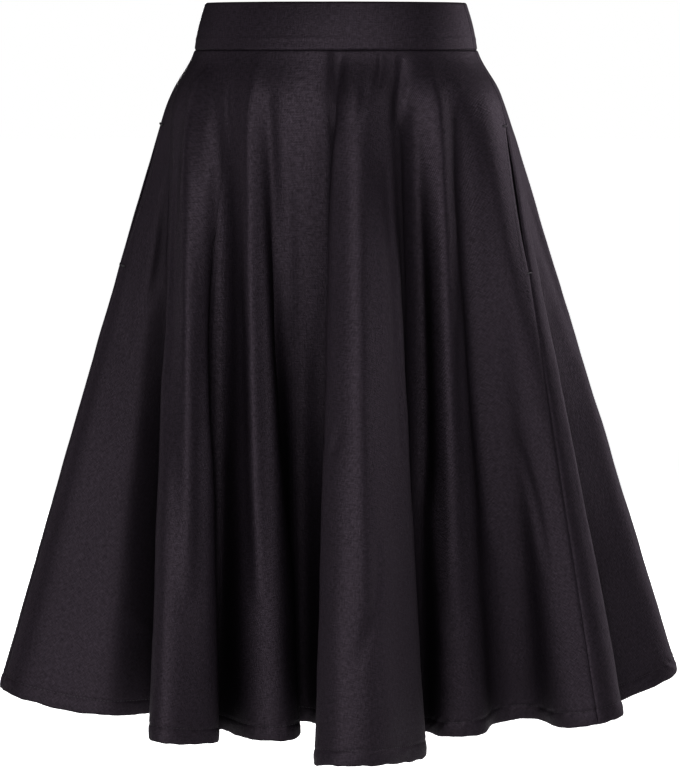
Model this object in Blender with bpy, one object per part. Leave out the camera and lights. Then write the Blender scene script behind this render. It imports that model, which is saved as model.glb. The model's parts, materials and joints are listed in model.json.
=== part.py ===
"""A circle skirt on a contoured waistband, worn, with its hanging folds set.

The skirt is hollow: a waist ring, a front panel and two back panels that fall from it in
folds, in-seam pockets and a concealed zip at the centre back. Metres, +Z up, the wearer's
front towards -Y. The origin is the centre of the waistband ring, halfway up its height.
"""

import math
from collections import namedtuple

import bmesh
import bpy
import numpy as np

MM = 0.001

# The waistband is a ring of ellipses, narrower at its top edge than at the waist seam
BAND_HEIGHT = 47 * MM
BAND_TOP_HALF_WIDTH = 130 * MM
BAND_TOP_HALF_DEPTH = 97 * MM
SEAM_HALF_WIDTH = 141.5 * MM
SEAM_HALF_DEPTH = 107 * MM
BAND_WALL = 2.6 * MM
BAND_CROWN = 1.2 * MM  # how far the band swells between its two edges

# The skirt falls from the waist seam. Its cut length is the same all round
CUT_LENGTH = 687 * MM
CLOTH_WALL = 1.4 * MM
HEM_DEPTH = 17 * MM
HEM_WALL = 2.8 * MM  # the cloth and its turn-up
HIP_SWELL = 13 * MM  # how far the hip pushes the cloth out
HIP_FALL = 38 * MM  # depth over which that swelling comes
HEM_HALF_WIDTH = 347 * MM  # the hem's mean ellipse
HEM_HALF_DEPTH = 190 * MM
START_SOFTNESS = 0.035  # share of the length over which a fold sets in
NORMAL_DEPTH = 4 * MM  # steps over which the cloth's normals are taken
NORMAL_DEGREES = 0.6

# In-seam pockets: depths run down the cloth from the waist seam
SEAM_GAP = 0.3 * MM
POCKET_TOP = 82 * MM
POCKET_OPENING = 148 * MM
POCKET_GAPE = 8 * MM  # how far the slit stands open at its middle
POCKET_FULLNESS = 14 * MM  # across the hanging bag
POCKET_BOTTOM = -285 * MM
POCKET_LINING_WALL = 1.0 * MM
LIP_SETBACK = 1.5 * MM  # from the slit's front edge to where the bag turns inward
BAG_THROAT = 12 * MM  # from the slit's back edge to the bag's shoulder
CLOSED_LIP = 8 * MM  # width of the bag's outer corner where it has no mouth
BAG_CAP = 5 * MM  # how far the bag's top lies above the slit
BAG_CAP_TURN = 1.5 * MM
BAG_SILL = 7 * MM  # how far below the slit the mouth is closed again

# The concealed zip at the centre back, through the waistband and into the skirt
ZIP_DEPTH = 172 * MM  # below the waist seam
ZIP_TOP_MARGIN = 3 * MM
ZIP_TAPE_WIDTH = 10 * MM
ZIP_TAPE_WALL = 0.9 * MM
ZIP_TAPE_GAP = 0.6 * MM
SLIDER_WIDTH = 5.0 * MM
SLIDER_HEIGHT = 8.5 * MM
SLIDER_DEPTH = 2.2 * MM
SLIDER_DROP = 7.5 * MM  # its middle, below the waistband's top edge
LOOP_WIDTH = 1.5 * MM
LOOP_HOLE = 2.3 * MM
LOOP_BAR = 0.7 * MM
PULL_LENGTH = 19 * MM
PULL_WIDTH = 4.8 * MM
PULL_THICKNESS = 1.0 * MM
PULL_REST = -6.6  # degrees from the waistband's slope, where its tip meets the cloth

# Fineness of the faceted cloth
ARC_STEP = math.radians(8)
LEAST_TURN = math.radians(40)  # a bend may turn back by this much before it counts as a full turn
HEM_STEP = 6 * MM  # along the smooth hem curve that the columns are taken from
COLUMN_SPAN = 58 * MM  # one column for this much straight hem
COLUMN_TURN = math.radians(54)  # or for this much turn
RINGS_ABOVE_POCKET = 3
RINGS_ALONG_POCKET = 4
RINGS_BELOW_POCKET = 5
BAND_ROWS = 4
BAND_COLUMN_DEGREES = 9

# The hem as it hangs, from the left edge of the view round by the front. x and y are the
# places of the bends in millimetres, bend is the radius there, waist is where that grain
# line leaves the waist seam in degrees, and start is the depth at which its fold begins
HemBend = namedtuple("HemBend", "name x y bend waist start")
HEM_BENDS = (
    HemBend("right_hip_edge", -349, 26, 34, 176, 30),
    HemBend("right_side", -262, -6, 170, 182, 40),
    HemBend("valley_1", -164, 20, 22, 189, 45),
    HemBend("fold_1_outer", -179, -134, 17, 198, 60),
    HemBend("fold_1_inner", -117, -106, 22, 222, 40),
    HemBend("valley_2", -130, -42, 12, 231, 30),
    HemBend("fold_2", -62, -90, 44, 239, 26),
    HemBend("fold_2_edge", -34, -72, 12, 245, 26),
    HemBend("valley_3", -40, -20, 13, 253, 30),
    HemBend("valley_3_turn", -3, -56, 13, 266, 8),
    HemBend("fold_3_outer", -19, -234, 18, 270, 4),
    HemBend("fold_3", 24, -250, 50, 278, 8),
    HemBend("fold_3_inner", 87, -172, 34, 288, 12),
    HemBend("valley_4", 80, -50, 12, 293, 18),
    HemBend("fold_4", 120, -78, 30, 306, 34),
    HemBend("fold_4_edge", 150, -64, 14, 311, 40),
    HemBend("valley_5", 178, -20, 30, 319, 45),
    HemBend("fold_5", 264, -72, 42, 347, 60),
    HemBend("fold_5_edge", 288, -34, 14, 353, 60),
    HemBend("valley_6", 280, 6, 16, 358, 50),
    HemBend("left_hip_edge", 359, 84, 26, 368, 40),
    HemBend("back_valley_1", 258, 120, 30, 378, 45),
    HemBend("back_fold_1", 252, 204, 38, 391, 40),
    HemBend("back_valley_2", 182, 134, 26, 405, 36),
    HemBend("back_fold_2", 138, 242, 34, 420, 22),
    HemBend("back_valley_3", 82, 108, 24, 434, 18),
    HemBend("back_fold_3", 12, 238, 50, 449, 34),
    HemBend("back_valley_4", -54, 140, 24, 464, 40),
    HemBend("back_fold_4", -104, 222, 34, 477, 30),
    HemBend("back_valley_5", -160, 122, 26, 492, 24),
    HemBend("back_fold_5", -226, 204, 38, 507, 36),
    HemBend("back_valley_6", -250, 112, 28, 520, 40),
)

# Where the seams leave the waist, in degrees: 0 is the wearer's left, 90 the back, 270 the front
RIGHT_SIDE_SEAM = 176.0
LEFT_SIDE_SEAM = 346.0
CENTRE_BACK = 450.0


# ---------------------------------------------------------------- the hem curve

def left_of(heading):
    """The unit direction to the left of a heading angle."""
    return np.array((-math.sin(heading), math.cos(heading)))


def rounded_outline(bends):
    """The closed outline of arcs that pass through the bends, joined by straight runs.

    Returns its points and, for each bend, the index of the point halfway round its arc.
    """
    tips = np.array([(bend.x, bend.y) for bend in bends], float) * MM
    before, after = np.roll(tips, 1, axis=0) - tips, np.roll(tips, -1, axis=0) - tips
    side = np.sign(after[:, 0] * before[:, 1] - after[:, 1] * before[:, 0])
    inward = before / np.linalg.norm(before, axis=1, keepdims=True)
    inward += after / np.linalg.norm(after, axis=1, keepdims=True)
    inward /= np.linalg.norm(inward, axis=1, keepdims=True)
    radius = np.array([bend.bend for bend in bends]) * MM
    centres = tips + inward * radius[:, None]
    signed = side * radius
    span = np.roll(centres, -1, axis=0) - centres
    offset = (np.roll(signed, -1) - signed) / np.linalg.norm(span, axis=1)
    leaving = np.arctan2(span[:, 1], span[:, 0]) - np.arcsin(np.clip(offset, -0.95, 0.95))
    outline, middles = [], []
    for i in range(len(bends)):
        turn = side[i] * (leaving[i] - leaving[i - 1])
        turn = (turn + LEAST_TURN) % (2 * math.pi) - LEAST_TURN
        steps = max(4, int(abs(turn) / ARC_STEP))
        middles.append(len(outline) + steps // 2)
        for step in range(steps + 1):
            heading = leaving[i - 1] + side[i] * turn * step / steps
            outline.append(centres[i] - signed[i] * left_of(heading))
    return np.array(outline), middles


def smooth_round(values, width):
    """A closed row of values, averaged over about width samples to either side."""
    reach = int(math.ceil(3 * width))
    offsets = range(-reach, reach + 1)
    weights = [math.exp(-0.5 * (offset / width) ** 2) for offset in offsets]
    total = sum(
        np.roll(values, -offset, axis=0) * weight for offset, weight in zip(offsets, weights)
    )
    return total / sum(weights)


class Hem:
    """The hem's smooth curve, and for each point on it the waist angle and the fold's start."""

    def __init__(self, bends):
        outline, middles = rounded_outline(bends)
        closed = np.vstack([outline, outline[:1]])
        along = np.concatenate([[0], np.cumsum(np.linalg.norm(np.diff(closed, axis=0), axis=1))])
        self.length = along[-1]
        self.count = int(self.length / HEM_STEP)
        at = np.arange(self.count) / self.count * self.length
        self.points = smooth_round(
            np.column_stack([np.interp(at, along, closed[:, k]) for k in (0, 1)]), 1.4
        )
        bend_at = along[middles]
        waist = np.array([bend.waist for bend in bends], float)
        start = np.array([bend.start for bend in bends], float) * MM
        bend_at = np.append(bend_at, bend_at[0] + self.length)
        waist = np.append(waist, waist[0] + 360)
        start = np.append(start, start[0])
        at_or_after = np.where(at < bend_at[0], at + self.length, at)
        steady = np.interp(at_or_after, bend_at, waist) - at_or_after / self.length * 360
        self.waist = smooth_round(steady, 4) + at_or_after / self.length * 360
        self.start = smooth_round(np.interp(at_or_after, bend_at, start), 4)
        order = np.argsort(at_or_after)
        self.points, self.waist, self.start = (
            self.points[order], self.waist[order], self.start[order],
        )

    def sample(self, waist_degrees):
        """Points, waist angles and starts where the grain lines leave the waist at these angles."""
        low = self.waist[0]
        wrapped = (np.asarray(waist_degrees, float) - low) % 360 + low
        waist = np.append(self.waist, self.waist[0] + 360)
        index = np.arange(self.count + 1)
        at = np.interp(wrapped, waist, index)
        values = np.column_stack([self.points, self.start])
        values = np.vstack([values, values[:1]])
        found = np.column_stack([np.interp(at, index, values[:, k]) for k in range(3)])
        return found[:, :2], found[:, 2]

    def columns(self, first, last):
        """Waist angles between first and last, closer together where the hem bends."""
        edge = np.roll(self.points, -1, axis=0) - self.points
        heading = np.unwrap(np.arctan2(edge[:, 1], edge[:, 0]))
        turn = np.abs(np.roll(heading, -1) - heading)
        turn = np.minimum(turn, 2 * math.pi - turn)
        weight = np.linalg.norm(edge, axis=1) / COLUMN_SPAN + turn / COLUMN_TURN
        weight = smooth_round(weight, 2)
        waist = np.concatenate([self.waist, self.waist + 360, self.waist[:1] + 720])
        total = np.concatenate([[0], np.cumsum(np.tile(weight, 2))])
        low, high = np.interp([first, last], waist, total)
        number = int(round(high - low))
        return np.interp(np.linspace(low, high, number + 1), total, waist)


HEM = Hem(HEM_BENDS)


# ---------------------------------------------------------------- the cloth's surface

def hull_radii(depth):
    """Half width and half depth of the skirt's smooth body at a depth below the waist seam."""
    swell = HIP_SWELL * (1 - np.exp(-((depth / HIP_FALL) ** 2)))
    share = depth / CUT_LENGTH
    half_width = SEAM_HALF_WIDTH + (HEM_HALF_WIDTH - SEAM_HALF_WIDTH - HIP_SWELL) * share
    half_depth = SEAM_HALF_DEPTH + (HEM_HALF_DEPTH - SEAM_HALF_DEPTH - HIP_SWELL) * share
    return half_width + swell, half_depth + swell


def fold_share(depth, start):
    """How much of a fold is there: none at the waist seam, all at the hem."""
    def ramp(at):
        gone = (at - start) / (CUT_LENGTH - start)
        return (gone + np.sqrt(gone**2 + START_SOFTNESS**2)) / 2
    return (ramp(depth) - ramp(0.0)) / (ramp(CUT_LENGTH) - ramp(0.0))


def skirt_surface(waist_degrees, depths):
    """Outer points of the cloth, one row for each depth and one column for each grain line."""
    hem_points, start = HEM.sample(waist_degrees)
    angle = np.radians(waist_degrees)
    fine = np.linspace(0, CUT_LENGTH, 276)
    half_width, half_depth = hull_radii(fine)
    cosine, sine = np.cos(angle), np.sin(angle)
    share = fold_share(fine[:, None], start[None, :])
    x = half_width[:, None] * cosine + share * (hem_points[:, 0] - half_width[-1] * cosine)
    y = half_depth[:, None] * sine + share * (hem_points[:, 1] - half_depth[-1] * sine)
    step = fine[1] - fine[0]
    slope = np.hypot(np.diff(x, axis=0), np.diff(y, axis=0)) / step
    fall = np.sqrt(np.maximum(1 - slope**2, 0.05)) * step
    z = -np.vstack([np.zeros(len(angle)), np.cumsum(fall, axis=0)]) - BAND_HEIGHT / 2
    grid = np.empty((len(depths), len(angle), 3))
    for k, values in enumerate((x, y, z)):
        for column in range(len(angle)):
            grid[:, column, k] = np.interp(depths, fine, values[:, column])
    return grid


def skirt_normals(waist_degrees, depths):
    """Unit normals of the cloth, outward, from points a little way off on every side."""
    nearby = np.clip(depths, NORMAL_DEPTH, CUT_LENGTH - NORMAL_DEPTH)
    down = skirt_surface(waist_degrees, nearby + NORMAL_DEPTH)
    down -= skirt_surface(waist_degrees, nearby - NORMAL_DEPTH)
    along = skirt_surface(waist_degrees + NORMAL_DEGREES, depths)
    along -= skirt_surface(waist_degrees - NORMAL_DEGREES, depths)
    normal = np.cross(down, along)
    return normal / np.linalg.norm(normal, axis=2, keepdims=True)


def slid_along(grid, column, distance):
    """Moves one end column of a grid along its rows, towards the next column if positive."""
    beside = 1 if column == 0 else -2
    heading = grid[:, beside] - grid[:, column]
    heading /= np.linalg.norm(heading, axis=1, keepdims=True)
    grid[:, column] += heading * np.asarray(distance).reshape(-1, 1)


# ---------------------------------------------------------------- meshes

def material(name, colour, roughness, metallic=0.0):
    made = bpy.data.materials.new(name)
    made.use_nodes = True
    shader = made.node_tree.nodes["Principled BSDF"]
    shader.inputs["Base Color"].default_value = (*colour, 1)
    shader.inputs["Roughness"].default_value = roughness
    shader.inputs["Metallic"].default_value = metallic
    return made


def add_object(name, mesh, finish):
    made = bpy.data.objects.new(name, mesh)
    bpy.context.scene.collection.objects.link(made)
    mesh.materials.append(finish)
    mesh.shade_smooth()
    mesh.set_sharp_from_angle(angle=math.radians(50))
    return made


def wall(name, outer, inner, finish):
    """A closed wall between two grids of points of the same size, its rims closed too."""
    rows, columns = outer.shape[:2]
    points = np.concatenate([outer.reshape(-1, 3), inner.reshape(-1, 3)])
    back = rows * columns

    def at(row, column, side=0):
        return side * back + row * columns + column

    faces = []
    for row in range(rows - 1):
        for column in range(columns - 1):
            a, b = at(row, column), at(row + 1, column)
            c, d = at(row + 1, column + 1), at(row, column + 1)
            faces += [(a, b, c), (a, c, d)]
            faces += [(c + back, b + back, a + back), (d + back, c + back, a + back)]
    border = [at(0, column) for column in range(columns)]
    border += [at(row, columns - 1) for row in range(1, rows)]
    border += [at(rows - 1, column) for column in range(columns - 2, -1, -1)]
    border += [at(row, 0) for row in range(rows - 2, 0, -1)]
    for here, after in zip(border, border[1:] + border[:1]):
        faces.append((here, after, after + back, here + back))
    mesh = bpy.data.meshes.new(name)
    mesh.from_pydata(points.tolist(), [], faces)
    return add_object(name, mesh, finish)


# ---------------------------------------------------------------- the garment's pieces

def panel_depths():
    """Depths of the rings of the cloth: to the pocket, along it, below it, and the turn-up."""
    slit_end = POCKET_TOP + POCKET_OPENING
    turn_up = CUT_LENGTH - HEM_DEPTH
    return np.concatenate(
        [
            np.linspace(SEAM_GAP / 2, POCKET_TOP, RINGS_ABOVE_POCKET, endpoint=False),
            np.linspace(POCKET_TOP, slit_end, RINGS_ALONG_POCKET, endpoint=False),
            np.linspace(slit_end, turn_up, RINGS_BELOW_POCKET, endpoint=False),
            [turn_up, turn_up + 1 * MM, CUT_LENGTH],
        ]
    )


def pocket_gape(depths):
    """How far the front panel's side edge stands off its seam to open the pocket."""
    share = np.clip((depths - POCKET_TOP) / POCKET_OPENING, 0, 1)
    return POCKET_GAPE * np.sin(math.pi * share) ** 0.7


def panel_faces(first, last, gapes=(False, False)):
    """Outer and inner points of a skirt panel between two seams, its hem turned up inside."""
    depths = panel_depths()
    columns = HEM.columns(first, last)
    outer = skirt_surface(columns, depths)
    thickness = np.where(depths > CUT_LENGTH - HEM_DEPTH, HEM_WALL, CLOTH_WALL)
    inner = outer - skirt_normals(columns, depths) * thickness[:, None, None]
    for grid in (outer, inner):
        for column, gape in ((0, gapes[0]), (-1, gapes[1])):
            slid_along(grid, column, SEAM_GAP / 2 + (pocket_gape(depths) if gape else 0))
    return outer, inner


def band_surface(degrees, heights, inward=0.0):
    """Points of the waistband's outer face, or inward of it, rows down from its top edge."""
    share = (BAND_HEIGHT / 2 - heights) / BAND_HEIGHT
    crown = BAND_CROWN * np.sin(math.pi * share) - inward
    half_width = BAND_TOP_HALF_WIDTH + (SEAM_HALF_WIDTH - BAND_TOP_HALF_WIDTH) * share + crown
    half_depth = BAND_TOP_HALF_DEPTH + (SEAM_HALF_DEPTH - BAND_TOP_HALF_DEPTH) * share + crown
    angle = np.radians(degrees)
    return np.stack(
        [
            half_width[:, None] * np.cos(angle),
            half_depth[:, None] * np.sin(angle),
            np.repeat(heights[:, None], len(angle), axis=1),
        ],
        axis=2,
    )


def band_faces(first, last):
    """Outer and inner points of a piece of the waistband between two seams."""
    heights = np.linspace(BAND_HEIGHT / 2, -BAND_HEIGHT / 2 + SEAM_GAP / 2, BAND_ROWS)
    columns = int(abs(last - first) / BAND_COLUMN_DEGREES)
    degrees = np.linspace(first, last, columns + 1)
    outer = band_surface(degrees, heights)
    inner = band_surface(degrees, heights, BAND_WALL)
    for grid in (outer, inner):
        for column in (0, -1):
            slid_along(grid, column, SEAM_GAP / 2)
    return outer, inner


PocketBag = namedtuple("PocketBag", "name x_outer y_front y_back")
RIGHT_POCKET_BAG = PocketBag("pocket_bag_right", -146, -44, 44)
LEFT_POCKET_BAG = PocketBag("pocket_bag_left", 148, -42, 44)


def slit_edge(face, column):
    """A panel's side edge where the pocket opens, and the direction into the panel from it."""
    depths = panel_depths()
    rows = (depths >= POCKET_TOP) & (depths <= POCKET_TOP + POCKET_OPENING)
    beside = 1 if column == 0 else -2
    into_panel = face[rows, beside] - face[rows, column]
    return face[rows, column], into_panel / np.linalg.norm(into_panel, axis=1, keepdims=True)


def pocket_bag(bag, front_edge, back_edge, finish):
    """A flat bag that hangs inside the skirt, its mouth behind the slit in the side seam."""
    wall_width = POCKET_LINING_WALL
    inward = np.cross(front_edge[1], (0, 0, 1.0))
    inward *= -np.sign(inward[:, :1] * front_edge[0][:, :1]) * 2 * SEAM_GAP
    side = math.copysign(1, bag.x_outer)
    outer_x, inner_x = bag.x_outer * MM, bag.x_outer * MM - side * POCKET_FULLNESS
    front_y, back_y = bag.y_front * MM, bag.y_back * MM

    def ring(front_lip, back_lip, inset, height):
        xs = outer_x - side * inset, inner_x + side * inset
        shoulder = back_lip[1] + BAG_THROAT - inset
        return [
            tuple(front_lip),
            (xs[0], front_lip[1] - LIP_SETBACK, height),
            (xs[0], front_y + inset, height),
            (xs[1], front_y + inset, height),
            (xs[1], back_y - inset, height),
            (xs[0], back_y - inset, height),
            (xs[0], shoulder, height),
            tuple(back_lip),
        ]

    skins = []
    for inset in (0.0, wall_width):
        lip = wall_width + SEAM_GAP - inset
        front_lips = front_edge[0] + front_edge[1] * lip + inward
        back_lips = back_edge[0] + back_edge[1] * lip + inward
        rings = [ring(f, b, inset, f[2]) for f, b in zip(front_lips, back_lips)]
        closed_x = outer_x - side * inset

        def shut(like, height):
            front_lip = (closed_x, max(like[0][1], front_y + 2 * LIP_SETBACK + wall_width), height)
            back_lip = (closed_x, front_lip[1] + CLOSED_LIP, height)
            return ring(front_lip, back_lip, inset, height)

        top, bottom = rings[0][0][2], rings[-1][0][2]
        rings = (
            [shut(rings[0], top + BAG_CAP - inset), shut(rings[0], top + BAG_CAP_TURN)]
            + rings
            + [shut(rings[-1], bottom - BAG_SILL), shut(rings[-1], POCKET_BOTTOM + inset)]
        )
        skins.append(rings)
    return bag_mesh(bag.name, skins, first_open=2, finish=finish)


def bag_mesh(name, skins, first_open, finish):
    """Joins an outer and an inner skin of rings into one wall with a mouth between their ends."""
    levels, points = len(skins[0]), len(skins[0][0])
    last_open = levels - 1 - first_open
    flat = [point for rings in skins for ring in rings for point in ring]

    def at(skin, level, point):
        return (skin * levels + level) * points + point

    faces = []
    for skin in (0, 1):
        for level in range(levels - 1):
            mouth = first_open <= level < last_open
            for point in range(points - 1 if mouth else points):
                after = (point + 1) % points
                faces.append(
                    (
                        at(skin, level, point), at(skin, level + 1, point),
                        at(skin, level + 1, after), at(skin, level, after),
                    )
                )
        faces.append([at(skin, 0, point) for point in range(points)])
        faces.append([at(skin, levels - 1, point) for point in range(points)])
    for level in range(first_open, last_open):
        for point in (0, points - 1):
            faces.append(
                (
                    at(0, level, point), at(0, level + 1, point),
                    at(1, level + 1, point), at(1, level, point),
                )
            )
    for level in (first_open, last_open):
        faces.append(
            (
                at(0, level, 0), at(0, level, points - 1),
                at(1, level, points - 1), at(1, level, 0),
            )
        )
    mesh = bpy.data.meshes.new(name)
    mesh.from_pydata(flat, [], faces)
    shape = bmesh.new()
    shape.from_mesh(mesh)
    bmesh.ops.recalc_face_normals(shape, faces=shape.faces)
    bmesh.ops.triangulate(shape, faces=shape.faces)
    shape.to_mesh(mesh)
    shape.free()
    return add_object(name, mesh, finish)


def under_edge(face, column, across, depth):
    """Points under one side edge of a face: across it from the edge, and depth below it."""
    beside = 1 if column == 0 else -2
    edge = face[:, column]
    into_piece = face[:, beside] - edge
    into_piece /= np.linalg.norm(into_piece, axis=1, keepdims=True)
    inward = np.cross(np.gradient(edge, axis=0), into_piece)
    inward /= np.linalg.norm(inward, axis=1, keepdims=True)
    inward *= -np.sign(inward[:, 1:2])
    points = edge[:, None] + into_piece[:, None] * across[None, :, None]
    return points + inward[:, None] * depth


def zip_tape(name, band_inner, skirt_inner, column, finish):
    """One side of the zip's tape, under the edge of its back panel and of the waistband."""
    across = np.array([SEAM_GAP / 2, ZIP_TAPE_WIDTH / 2, ZIP_TAPE_WIDTH])
    band = band_inner.copy()
    lowered = ZIP_TOP_MARGIN / (band[0, 0, 2] - band[1, 0, 2])
    band[0] += (band[1] - band[0]) * lowered
    skirt = skirt_inner[panel_depths() <= ZIP_DEPTH]

    def layer(depth):
        rows = [under_edge(grid, column, across, depth) for grid in (band, skirt)]
        return np.concatenate([rows[0], rows[1][1:]])

    near, far = layer(ZIP_TAPE_GAP), layer(ZIP_TAPE_GAP + ZIP_TAPE_WALL)
    if column == -1:
        near, far = near[:, ::-1], far[:, ::-1]
    return wall(name, near, far, finish)


def block(name, low, high):
    """A plain block between two corners, in the slider's own frame."""
    shape = bmesh.new()
    bmesh.ops.create_cube(shape, size=1)
    size = np.array(high) - np.array(low)
    middle = (np.array(high) + np.array(low)) / 2
    for vert in shape.verts:
        vert.co = middle + size * np.array(vert.co)
    mesh = bpy.data.meshes.new(name)
    shape.to_mesh(mesh)
    shape.free()
    made = bpy.data.objects.new(name, mesh)
    bpy.context.scene.collection.objects.link(made)
    return made


def cut_or_join(target, tool, operation):
    change = target.modifiers.new(tool.name, "BOOLEAN")
    change.object = tool
    change.operation = operation
    tool.hide_render = True
    tool.display_type = "WIRE"


def soften(target, width):
    bevel = target.modifiers.new("soft_edges", "BEVEL")
    bevel.width = width
    bevel.segments = 2


def zip_slider_and_pull(finish):
    """The slider at the top of the zip, and the tab that swings on its loop."""
    height = BAND_HEIGHT / 2 - SLIDER_DROP
    surface = band_surface(np.array([CENTRE_BACK]), np.array([height]))[0, 0]
    slope = math.atan2(SEAM_HALF_DEPTH - BAND_TOP_HALF_DEPTH, BAND_HEIGHT)
    frame = bpy.data.objects.new("zip_slider_frame", None)
    bpy.context.scene.collection.objects.link(frame)
    frame.location = surface + np.array([0, math.cos(slope), math.sin(slope)]) * SEAM_GAP * 2
    frame.rotation_euler = (slope, 0, 0)

    slider = block(
        "zip_slider",
        (-SLIDER_WIDTH / 2, 0, -SLIDER_HEIGHT / 2),
        (SLIDER_WIDTH / 2, SLIDER_DEPTH, SLIDER_HEIGHT / 2),
    )
    soften(slider, 0.5 * MM)
    reach = LOOP_HOLE / 2 + LOOP_BAR
    loop = block(
        "slider_loop",
        (-LOOP_WIDTH / 2, SLIDER_DEPTH - 0.4 * MM, -reach),
        (LOOP_WIDTH / 2, SLIDER_DEPTH + LOOP_HOLE + LOOP_BAR, reach),
    )
    hole = block(
        "slider_loop_hole",
        (-LOOP_WIDTH, SLIDER_DEPTH, -LOOP_HOLE / 2),
        (LOOP_WIDTH, SLIDER_DEPTH + LOOP_HOLE, LOOP_HOLE / 2),
    )
    cut_or_join(loop, hole, "DIFFERENCE")
    cut_or_join(slider, loop, "UNION")

    pivot = bpy.data.objects.new("zip_pull_pivot", None)
    bpy.context.scene.collection.objects.link(pivot)
    pivot.parent = frame
    pivot.location = (0, SLIDER_DEPTH + LOOP_HOLE / 2, 0)
    pivot.rotation_euler = (math.radians(PULL_REST), 0, 0)
    half_bar = PULL_THICKNESS / 2
    pull = block(
        "zip_pull",
        (-PULL_WIDTH / 2, -half_bar, -PULL_LENGTH + half_bar),
        (PULL_WIDTH / 2, half_bar, half_bar),
    )
    window = block(
        "zip_pull_window",
        (-LOOP_WIDTH / 2 - 0.5 * MM, -PULL_THICKNESS, -4.6 * MM),
        (LOOP_WIDTH / 2 + 0.5 * MM, PULL_THICKNESS, -half_bar),
    )
    cut_or_join(pull, window, "DIFFERENCE")
    for piece, parent in (
        (slider, frame), (loop, frame), (hole, frame), (pull, pivot), (window, pivot),
    ):
        piece.parent = parent
    for piece in (slider, pull):
        piece.data.materials.append(finish)


# ---------------------------------------------------------------- build

def clear_scene():
    for item in list(bpy.data.objects):
        bpy.data.objects.remove(item)


def build():
    clear_scene()
    cloth = material("black_cotton_satin", (0.012, 0.010, 0.012), 0.62)
    lining = material("black_pocketing", (0.010, 0.010, 0.011), 0.8)
    tape = material("black_zip_tape", (0.010, 0.010, 0.010), 0.75)
    enamel = material("black_enamelled_zip", (0.015, 0.015, 0.015), 0.35)
    right, left, back = RIGHT_SIDE_SEAM, LEFT_SIDE_SEAM, CENTRE_BACK
    front = panel_faces(right, left, gapes=(True, True))
    back_left = panel_faces(left, back)
    back_right = panel_faces(back, right + 360)
    wall("front_panel", *front, cloth)
    wall("back_panel_left", *back_left, cloth)
    wall("back_panel_right", *back_right, cloth)
    band_left = band_faces(left, back)
    band_right = band_faces(back, right + 360)
    wall("waistband_front", *band_faces(right, left), cloth)
    wall("waistband_back_left", *band_left, cloth)
    wall("waistband_back_right", *band_right, cloth)
    pocket_bag(RIGHT_POCKET_BAG, slit_edge(front[1], 0), slit_edge(back_right[1], -1), lining)
    pocket_bag(LEFT_POCKET_BAG, slit_edge(front[1], -1), slit_edge(back_left[1], 0), lining)
    zip_tape("zip_tape_left", band_left[1], back_left[1], -1, tape)
    zip_tape("zip_tape_right", band_right[1], back_right[1], 0, tape)
    zip_slider_and_pull(enamel)


build()
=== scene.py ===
"""The looks of a worn black circle skirt: fine cloth shells, seams, stitches, pockets and zip."""

import json
import math
from collections import namedtuple

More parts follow.
